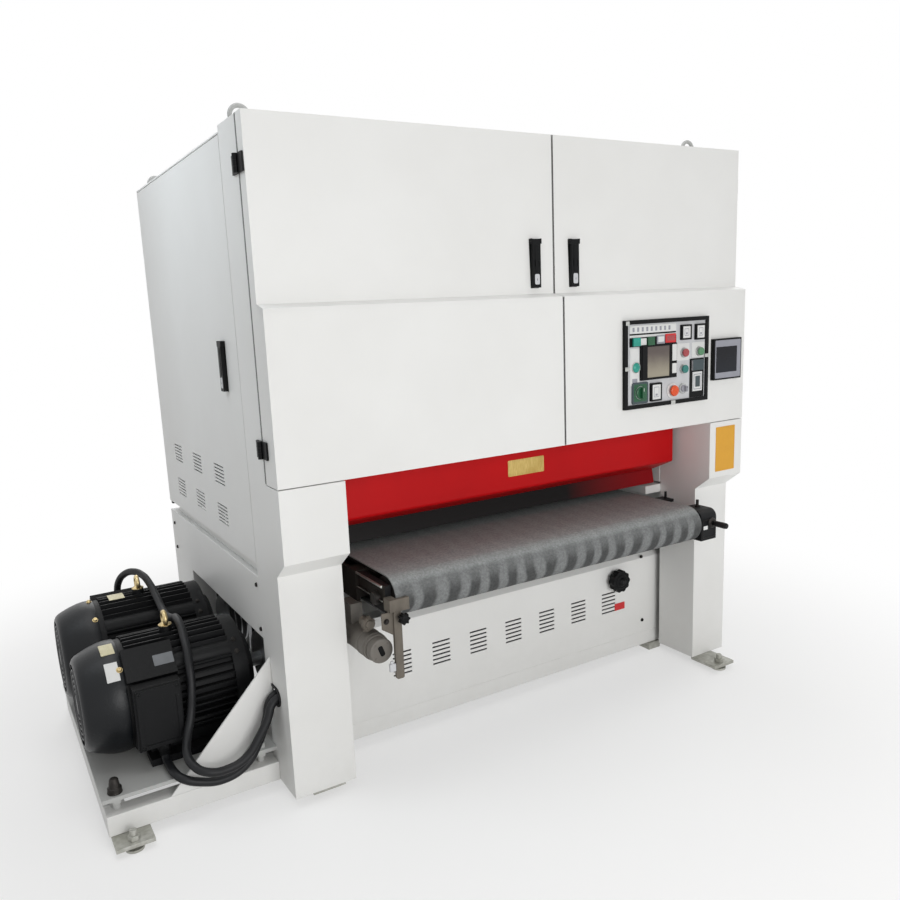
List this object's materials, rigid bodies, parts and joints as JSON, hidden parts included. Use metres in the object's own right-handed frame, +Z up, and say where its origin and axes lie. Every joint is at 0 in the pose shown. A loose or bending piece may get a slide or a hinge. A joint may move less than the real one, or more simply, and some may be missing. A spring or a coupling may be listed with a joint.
{
  "type": "wide belt sander",
  "caption": "Floor-standing wide belt sander: stepped sheet cabinet over a rising feed conveyor, sanding heads inside, finned motors on a bed at the left.",
  "frame": {"origin": "on the floor under the middle of the whole machine's box", "axes": "+Z up, +Y from the infeed side to the outfeed side, +X to the right as the operator sees it"},
  "size_m": [2.459, 1.6498, 2.0527],
  "materials": {
    "white_enamel": "satin",
    "grey_enamel": "satin",
    "red_enamel": "satin",
    "black_enamel": "painted",
    "bare_steel": "machined",
    "zinc_plate": "plated",
    "feed_rubber": "rough",
    "black_rubber": "matt",
    "abrasive_cloth": "coated",
    "black_plastic": "moulded",
    "grey_plastic": "moulded",
    "stop_plastic": "moulded",
    "red_plastic": "moulded",
    "green_plastic": "moulded",
    "teal_plastic": "moulded"
  },
  "bodies": {
    "frame": {"base_frame": "white_enamel", "left_column": "white_enamel", "right_column": "white_enamel", "cabinet_frame": "white_enamel", "rear_panel": "white_enamel", "motor_bed": "white_enamel", "motor_plate": "grey_enamel", "louvre_panel": "white_enamel", "levelling_feet": "bare_steel", "lifting_eyes": "zinc_plate", "infeed_guard": "red_enamel", "electrical_board": "grey_enamel", "hinge_leaves": "black_enamel", "bearing_blocks": "bare_steel", "sanding_belts": "abrasive_cloth", "tension_yokes": "bare_steel", "drive_belts": "black_rubber", "motor_1_frame": "black_enamel", "motor_2_frame": "black_enamel", "motor_cowls": "black_enamel", "terminal_boxes": "black_enamel", "motor_cables": "black_rubber", "lift_jacks": "bare_steel", "feed_drive": "grey_enamel"},
    "left_door": {"left_front_door": "white_enamel", "left_door_knuckles": "black_enamel"},
    "left_handle": {"left_door_handle": "black_plastic"},
    "right_door": {"right_front_door": "white_enamel", "right_door_knuckles": "black_enamel", "control_frame": "black_plastic", "control_plate": "grey_enamel", "operator_screen": "black_plastic"},
    "right_handle": {"right_door_handle": "black_plastic"},
    "stop_button": {"stop_button": "stop_plastic"},
    "red_button": {"red_button": "red_plastic"},
    "green_button": {"green_button": "green_plastic"},
    "teal_button": {"teal_button": "teal_plastic"},
    "main_switch": {"main_switch": "black_plastic"},
    "key_selector": {"key_selector": "grey_plastic"},
    "left_service_door": {"left_side_door": "white_enamel"},
    "left_service_handle": {"left_side_handle": "black_plastic"},
    "right_service_door": {"right_side_door": "white_enamel"},
    "table": {"conveyor_bed": "grey_enamel", "feed_belt": "feed_rubber", "roller_blocks": "black_enamel", "hanger_bracket": "bare_steel", "tracking_motor": "bare_steel", "lift_screws": "bare_steel"},
    "drive_roller": {"drive_roller": "bare_steel"},
    "idler_roller": {"idler_roller": "bare_steel"},
    "tension_handle": {"tension_handle": "black_enamel"},
    "drum_1": {"contact_drum_1": "black_rubber"},
    "drum_2": {"contact_drum_2": "black_rubber"},
    "tension_roller_1": {"tension_roller_1": "bare_steel"},
    "tension_roller_2": {"tension_roller_2": "bare_steel"},
    "rotor_1": {"motor_1_rotor": "bare_steel"},
    "rotor_2": {"motor_2_rotor": "bare_steel"},
    "pressure_roller_1": {"pressure_roller_1": "black_rubber"},
    "pressure_roller_2": {"pressure_roller_2": "black_rubber"},
    "handwheel": {"speed_handwheel": "black_plastic"}
  },
  "joints": [
    {"name": "left_door_swing", "type": "hinge", "parent": "frame", "child": "left_door", "pos_m": [-0.6965, -0.5935, 1.5], "axis": [0, 0, -1], "range_deg": [0, 110]},
    {"name": "right_door_swing", "type": "hinge", "parent": "frame", "child": "right_door", "pos_m": [1.2215, -0.5935, 1.5], "axis": [0, 0, 1], "range_deg": [0, 110]},
    {"name": "left_handle_lift", "type": "hinge", "parent": "left_door", "child": "left_handle", "pos_m": [0.2475, -0.648, 1.6747], "axis": [-1, 0, 0], "range_deg": [0, 35]},
    {"name": "right_handle_lift", "type": "hinge", "parent": "right_door", "child": "right_handle", "pos_m": [0.4075, -0.648, 1.6747], "axis": [-1, 0, 0], "range_deg": [0, 35]},
    {"name": "stop_button_press", "type": "slide", "parent": "right_door", "child": "stop_button", "axis": [0, 1, 0], "range_m": [0, 0.004], "stiffness_N_per_m": 400},
    {"name": "red_button_press", "type": "slide", "parent": "right_door", "child": "red_button", "axis": [0, 1, 0], "range_m": [0, 0.004], "stiffness_N_per_m": 300},
    {"name": "green_button_press", "type": "slide", "parent": "right_door", "child": "green_button", "axis": [0, 1, 0], "range_m": [0, 0.004], "stiffness_N_per_m": 300},
    {"name": "teal_button_press", "type": "slide", "parent": "right_door", "child": "teal_button", "axis": [0, 1, 0], "range_m": [0, 0.004], "stiffness_N_per_m": 300},
    {"name": "main_switch_turn", "type": "hinge", "parent": "right_door", "child": "main_switch", "pos_m": [0.6573, -0.695, 1.15544], "axis": [0, 1, 0], "range_deg": [0, 90]},
    {"name": "key_selector_turn", "type": "hinge", "parent": "right_door", "child": "key_selector", "pos_m": [0.87154, -0.695, 1.15236], "axis": [0, 1, 0], "range_deg": [-45, 45]},
    {"name": "left_service_door_swing", "type": "hinge", "parent": "frame", "child": "left_service_door", "pos_m": [-0.6755, 0.685, 1.3], "axis": [0, 0, -1], "range_deg": [0, 100]},
    {"name": "left_service_handle_lift", "type": "hinge", "parent": "left_service_door", "child": "left_service_handle", "pos_m": [-0.6955, -0.297, 1.4017], "axis": [0, 1, 0], "range_deg": [0, 35]},
    {"name": "right_service_door_swing", "type": "hinge", "parent": "frame", "child": "right_service_door", "pos_m": [1.2005, 0.685, 1.3], "axis": [0, 0, 1], "range_deg": [0, 100]},
    {"name": "table_lift", "type": "slide", "parent": "frame", "child": "table", "axis": [0, 0, 1], "range_m": [-0.11, 0.02]},
    {"name": "drive_roller_spin", "type": "hinge", "parent": "table", "child": "drive_roller", "pos_m": [0.2625, 0.76, 0.64], "axis": [1, 0, 0], "continuous": true},
    {"name": "idler_roller_spin", "type": "hinge", "parent": "table", "child": "idler_roller", "pos_m": [0.2625, -0.7, 0.64], "axis": [1, 0, 0], "continuous": true},
    {"name": "tension_handle_turn", "type": "hinge", "parent": "table", "child": "tension_handle", "pos_m": [0.9725, -0.755, 0.64], "axis": [0, 1, 0], "continuous": true},
    {"name": "drum_1_spin", "type": "hinge", "parent": "frame", "child": "drum_1", "pos_m": [0.2625, -0.19, 0.8568], "axis": [1, 0, 0], "continuous": true},
    {"name": "tension_roller_1_spin", "type": "hinge", "parent": "frame", "child": "tension_roller_1", "pos_m": [0.2625, -0.19, 1.6568], "axis": [1, 0, 0], "continuous": true},
    {"name": "rotor_1_spin", "type": "hinge", "parent": "frame", "child": "rotor_1", "pos_m": [-0.8375, -0.19, 0.322], "axis": [1, 0, 0], "continuous": true},
    {"name": "pressure_roller_1_spin", "type": "hinge", "parent": "frame", "child": "pressure_roller_1", "pos_m": [0.2625, -0.37, 0.77], "axis": [1, 0, 0], "continuous": true},
    {"name": "drum_2_spin", "type": "hinge", "parent": "frame", "child": "drum_2", "pos_m": [0.2625, 0.25, 0.8568], "axis": [1, 0, 0], "continuous": true},
    {"name": "tension_roller_2_spin", "type": "hinge", "parent": "frame", "child": "tension_roller_2", "pos_m": [0.2625, 0.25, 1.6568], "axis": [1, 0, 0], "continuous": true},
    {"name": "rotor_2_spin", "type": "hinge", "parent": "frame", "child": "rotor_2", "pos_m": [-0.8375, 0.25, 0.322], "axis": [1, 0, 0], "continuous": true},
    {"name": "pressure_roller_2_spin", "type": "hinge", "parent": "frame", "child": "pressure_roller_2", "pos_m": [0.2625, 0.43, 0.77], "axis": [1, 0, 0], "continuous": true},
    {"name": "handwheel_turn", "type": "hinge", "parent": "frame", "child": "handwheel", "pos_m": [0.8075, -0.404, 0.357], "axis": [0, 1, 0], "range_deg": [-700, 700]}
  ],
  "couplings": [
    {"joint": "idler_roller_spin", "follows": "drive_roller_spin", "ratio": 1},
    {"joint": "rotor_1_spin", "follows": "drum_1_spin", "ratio": 1},
    {"joint": "tension_roller_1_spin", "follows": "drum_1_spin", "ratio": 1.6964},
    {"joint": "rotor_2_spin", "follows": "drum_2_spin", "ratio": 1},
    {"joint": "tension_roller_2_spin", "follows": "drum_2_spin", "ratio": 1.6964}
  ]
}
